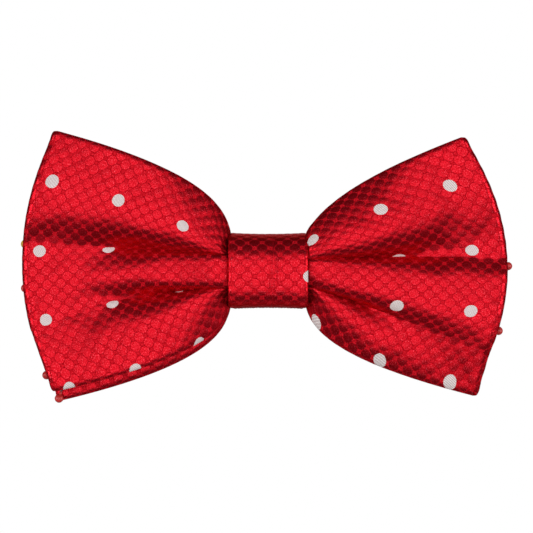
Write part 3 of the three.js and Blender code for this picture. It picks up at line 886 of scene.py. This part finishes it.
def add_seam():
    """Whip stitches that close the knot underneath."""
    low, high = (Vector(corner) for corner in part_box("knot_seam_thread"))
    radius = 0.2 * MM
    stitches = 14
    points = []
    for k in range(stitches + 1):
        share = lerp(-0.86, 0.86, k / stitches)
        height = KNOT_WAIST * 0.85 * (1 - share**2) - KNOT_TOP - radius
        back = 0.85 if k % 2 else 0.15
        slack = 0.12 * MM * math.cos(k * 2.1)
        points.append((share * KNOT_HALF, lerp(low.y, high.y, back) + slack, height))
    add_thread("knot_stitches", points, radius, 0.12 * MM, replaces=["knot_seam_thread"])


def add_gather_thread():
    """Turns of thread round the two bows where they are gathered, under the knot."""
    low, high = (Vector(corner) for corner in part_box("gather_thread"))
    turns = 9
    steps = 28  # in a turn
    radius = 0.14 * MM
    half_y, half_z = (high.y - low.y) / 2 - radius, (high.z - low.z) / 2 - radius
    points = []
    for k in range(turns * steps + 1):
        angle = 2 * math.pi * k / steps
        c, s = math.cos(angle), math.sin(angle)
        y = (low.y + high.y) / 2 + half_y * math.copysign(abs(c) ** 0.5, c)
        z = half_z * math.copysign(abs(s) ** 0.5, s)
        points.append((lerp(low.x + radius, high.x - radius, k / (turns * steps)), y, z))
    add_thread("gather_stitches", points, radius, 0.3 * MM, replaces=["gather_thread"])


def add_bartack(name, node, body):
    """A dense zigzag of thread over the bar that the CAD node stands for."""
    low, high = (Vector(corner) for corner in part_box(node))
    middle = (low + high) / 2
    tangent = Vector((-middle.y, middle.x, 0)).normalized()
    outward = Vector((middle.x, middle.y, 0)).normalized()
    passes = 40
    points = []
    for k in range(passes + 1):
        side = 0.75 * MM * (1 if k % 2 else -1)
        z = lerp(low.z + 0.2 * MM, high.z - 0.2 * MM, k / passes)
        lift = Vector((0, 0, z - middle.z))
        points.append(tuple(middle + tangent * side + lift))
        if k < passes:
            lift.z += 0.13 * MM
            points.append(tuple(middle + outward * 0.08 * MM + lift))
    add_thread(name, points, 0.14 * MM, 0.15 * MM, body=body, replaces=[node])


add_seam()
add_gather_thread()
add_bartack("eye_stitches", "eye_bartack", "root")
add_bartack("tail_stitches", "tail_bartack", "slider")

# ---- The neckband --------------------------------------------------------------------------


def angle_of(place):
    """Angle round the neck from the knot, growing towards +X and on past the back."""
    angle = math.atan2(place[0], -place[1])
    return angle + 2 * math.pi if angle < -math.radians(170) else angle


EYE_ANGLE = angle_of(JOINTS["eye_swing"]["pos_m"])
HOOK_ANGLE = angle_of(JOINTS["hook_swing"]["pos_m"])
SLIDER_ANGLE = math.radians(140)
BAND_LOW, BAND_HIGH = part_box("neckband_strap")
BAND_THICK = 0.8 * MM
BAND_HALF = (BAND_HIGH[2] - BAND_LOW[2]) / 2
LOOP = BAND_HIGH[1] - BAND_THICK / 2 - BAND_RADIUS  # radius of the strap's turn round a bar
INNER = BAND_RADIUS - LOOP  # radius of the layer that has turned back
LAYER_STEP = 1.2 * MM  # from the turned-back layer in to the tail's sewn end
SLIDER_BAR = INNER - LOOP  # radius of the slider's middle bar round the neck
FLARE = 8 * MM / BAND_RADIUS  # angle over which the strap moves out to pass round a bar
EYE_END = 12 * MM  # length of the strap's end that is turned back at the eye
HOOK_END = 6 * MM  # and at the hook
TAIL_GAP = 0.35 * MM  # from there to the tail, which goes on to the slider
SEWN_END = 10 * MM  # length of the tail's end that is turned back at the slider


def arc_of(length):
    return length / BAND_RADIUS


def on_band(radius, angle):
    return np.stack([radius * np.sin(angle), -radius * np.cos(angle)], axis=-1)


def band_run(radius, start, end, count):
    """Points along the band, where radius is a function of the angle."""
    angles = np.linspace(start, end, count)
    return on_band(np.broadcast_to(radius(angles), angles.shape), angles)


def bar_turn(radius, angle, side, outwards_first):
    """Half a turn round an upright bar. side is 1 where the strap passes on the side of growing
    angles."""
    turn = np.linspace(0, np.pi, 13)[:, None]
    radial = on_band(1, angle)
    tangent = np.array([math.cos(angle), math.sin(angle)])
    lift = (1 if outwards_first else -1) * np.cos(turn) * LOOP
    return radius * radial + radial * lift + tangent * side * np.sin(turn) * LOOP


# The layers' radii, as functions of the angle round the neck.


def outer_layer(angle):
    spread = 1 - smoothstep(angle, EYE_ANGLE, EYE_ANGLE + FLARE)
    return BAND_RADIUS + LOOP * (spread + smoothstep(angle, HOOK_ANGLE - FLARE, HOOK_ANGLE))


def inner_layer(angle):
    return INNER + 0 * angle


def sewn_tail(angle):
    closing = smoothstep(angle, SLIDER_ANGLE, SLIDER_ANGLE + arc_of(5 * MM))
    return lerp(SLIDER_BAR - LOOP, INNER - LAYER_STEP, closing)


def strap_surface(line, step):
    """The strap's middle at (s, t), where t is the height."""
    along = np.concatenate([[0], np.cumsum(np.linalg.norm(np.diff(line, axis=0), axis=1))])
    count = int(along[-1] / step)
    s = np.linspace(0, along[-1], count)
    plan = np.stack([np.interp(s, along, line[:, k]) for k in (0, 1)], axis=1)

    def surface(t):
        bow = 0.12 * MM * undulation(s[:, None] * 60, t * 90, 21)
        radial = unit(plan)[:, None]
        flat = plan[:, None] + radial * bow[..., None]
        height = np.broadcast_to(t, flat.shape[:2])
        points = np.concatenate([flat, height[..., None]], axis=-1)
        return points, np.broadcast_to(s[:, None], height.shape)

    return surface, along[-1]


def band_weave(s, t):
    return s / CELL + 0.4, (t - 3.0 * MM) / CELL


def add_strap(name, line, node, body):
    surface, length = strap_surface(np.concatenate(line), 0.5 * MM)
    strap = cloth_tube(
        name, surface, BAND_HALF, BAND_THICK, 0.4 * MM, band_weave, False, relief=0.04 * MM,
        material=CLOTH, body=body, replaces=[node],
    )
    return strap


def add_neckband():
    half_step = arc_of(0.5 * MM)
    tail_start = HOOK_ANGLE - arc_of(HOOK_END + TAIL_GAP)
    add_strap(
        "strap",
        [
            band_run(inner_layer, EYE_ANGLE + arc_of(EYE_END), EYE_ANGLE + half_step, 24),
            bar_turn(BAND_RADIUS, EYE_ANGLE, -1, False),
            band_run(outer_layer, EYE_ANGLE + half_step, HOOK_ANGLE - half_step, 500),
            bar_turn(BAND_RADIUS, HOOK_ANGLE, 1, True),
            band_run(inner_layer, HOOK_ANGLE - half_step, HOOK_ANGLE - arc_of(HOOK_END), 12),
        ],
        "neckband_strap",
        "root",
    )
    tail = add_strap(
        "tail",
        [
            band_run(inner_layer, tail_start, SLIDER_ANGLE + half_step, 70),
            bar_turn(SLIDER_BAR, SLIDER_ANGLE, -1, True),
            band_run(sewn_tail, SLIDER_ANGLE + half_step, SLIDER_ANGLE + arc_of(SEWN_END), 24),
        ],
        "strap_tail",
        None,
    )
    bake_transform(tail)


add_neckband()

# ---- Hardware ------------------------------------------------------------------------------

PIN_LENGTH = 22 * MM  # from the ball's middle to the point
PIN_RADIUS = 0.29 * MM
SEAM_RING = 10  # the ring of the ball's profile that carries its moulding seam

def finish_hardware():
    """The slider, hook and eye keep their CAD shapes, with rounded edges and a plated look."""
    for name in ("slide_adjuster", "neckband_hook", "neckband_eye"):
        piece = bpy.data.objects[name]
        for place in range(len(piece.material_slots)):
            piece.material_slots[place].material = METAL
        bevel = piece.modifiers.new("edges", "BEVEL")
        bevel.width = 0.12 * MM
        bevel.segments = 2
        bevel.limit_method = "ANGLE"
        bevel.angle_limit = math.radians(35)
        bevel.harden_normals = True


def lathe(profile, place, axis, sides):
    """A round solid about an axis through a place. profile lists (distance, radius)."""
    side = unit(np.cross(axis, (0.0, 1.0, 0.0)))
    over = np.cross(axis, side)
    turn = np.linspace(0, 2 * np.pi, sides, endpoint=False)[None, :, None]
    along, radius = (np.array(values)[:, None, None] for values in zip(*profile))
    points = place + along * axis + radius * (np.cos(turn) * side + np.sin(turn) * over)
    return points, grid_faces(len(profile), sides, False) + end_faces(len(profile), sides)


def add_pin(name, colour):
    """A ball-headed pin, with a faint moulding seam round the ball and a collar below it. Its
    shaft runs against the way it pulls out."""
    low, high = (np.array(corner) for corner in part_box("pin_head_" + name))
    ball = (high[0] - low[0]) / 2
    axis = -np.array(JOINTS[f"pin_{name}_pull"]["axis"], float)
    turn = np.linspace(math.pi, 0.36, 22)
    profile = [(ball * math.cos(angle), max(ball * math.sin(angle), 0.02 * MM)) for angle in turn]
    along, wide = profile[SEAM_RING]
    profile[SEAM_RING] = (along, wide + 0.02 * MM)
    profile += [(1.25 * MM, 0.36 * MM), (1.7 * MM, 0.34 * MM), (1.78 * MM, 0.3 * MM)]
    points, faces = lathe(profile, (low + high) / 2, axis, 28)
    body = "pin_" + name
    add_piece(
        body + "_ball", points, faces, HEADS[colour], body=body, replaces=["pin_head_" + name]
    )
    length, radius = PIN_LENGTH, PIN_RADIUS
    profile = [(1.5 * MM, radius), (length * 0.5, radius), (length - 3 * MM, radius)]
    profile += [(length - 1.4 * MM, radius * 0.7), (length - 0.4 * MM, radius * 0.25)]
    profile += [(length, 0.01 * MM)]
    points, faces = lathe(profile, (low + high) / 2, axis, 16)
    add_piece(body + "_shaft", points, faces, STEEL, body=body, replaces=["pin_shaft_" + name])


finish_hardware()
for pin in ("left_middle", "left_lower", "left_corner", "right_upper", "right_lower"):
    add_pin(pin, "red")
add_pin("left_upper", "yellow")

# ---- Camera, light and floor ---------------------------------------------------------------

FIELD = 131.6 * MM  # width of the view at the bow
DISTANCE = 1.2  # from the camera to the knot's front
SENSOR = 36  # width of the camera's sensor, in millimetres


def add_camera():
    data = bpy.data.cameras.new("camera")
    data.sensor_width = SENSOR
    data.lens = SENSOR * DISTANCE / FIELD
    camera = bpy.data.objects.new("camera", data)
    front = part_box("knot_wrap")[0][1]
    camera.location = (-0.4 * MM, front - DISTANCE, 1.0 * MM)
    camera.rotation_euler = (math.pi / 2, 0, 0)
    bpy.context.collection.objects.link(camera)
    bpy.context.scene.camera = camera


def add_softbox(name, place, size, radiance):
    """A square area light that faces the bow."""
    data = bpy.data.lights.new(name, "AREA")
    data.shape = "SQUARE"
    data.size = size
    data.energy = radiance * math.pi * size * size
    light = bpy.data.objects.new(name, data)
    light.location = place
    light.rotation_euler = (-Vector(place)).to_track_quat("-Z", "Y").to_euler()
    light.visible_camera = False
    bpy.context.collection.objects.link(light)


def add_world():
    """White behind the object, and dim all round it for what it mirrors."""
    world = bpy.data.worlds.new("studio")
    bpy.context.scene.world = world
    world.use_nodes = True
    tree = world.node_tree
    tree.nodes.clear()
    seen = tree.nodes.new("ShaderNodeBackground")
    around = tree.nodes.new("ShaderNodeBackground")
    seen.inputs["Strength"].default_value = 1.0
    seen.inputs["Color"].default_value = rgb(1, 1, 1)
    around.inputs["Color"].default_value = rgb(1, 1, 1)
    around.inputs["Strength"].default_value = 0.09
    path = tree.nodes.new("ShaderNodeLightPath")
    mix = tree.nodes.new("ShaderNodeMixShader")
    out = tree.nodes.new("ShaderNodeOutputWorld")
    tree.links.new(path.outputs["Is Camera Ray"], mix.inputs[0])
    tree.links.new(around.outputs[0], mix.inputs[1])
    tree.links.new(seen.outputs[0], mix.inputs[2])
    tree.links.new(mix.outputs[0], out.inputs["Surface"])


def add_floor():
    """A pale floor well below the tie, that starts just in front of it, so that the bow's satin
    does not mirror it."""
    mesh = bpy.data.meshes.new("floor")
    reach = 2.0
    level = cad_box[0][2] - 0.25
    front = -0.1
    sides = ((-reach, front), (reach, front), (reach, reach), (-reach, reach))
    corners = [(x, y, level) for x, y in sides]
    mesh.from_pydata(corners, [], [(0, 1, 2, 3)])
    mesh.materials.append(floor_material())
    floor = bpy.data.objects.new("floor", mesh)
    bpy.context.collection.objects.link(floor)


add_camera()
add_softbox("key", (0.0, -1.5, 0.05), size=1.7, radiance=1.7)
add_softbox("back", (0.3, 1.8, 0.7), size=1.4, radiance=1.0)
add_softbox("left", (-1.7, -0.85, 0.1), size=1.1, radiance=4.2)
add_softbox("right", (1.7, -0.85, 0.1), size=1.1, radiance=4.2)
add_world()
add_floor()
bpy.context.scene.view_settings.view_transform = "Standard"
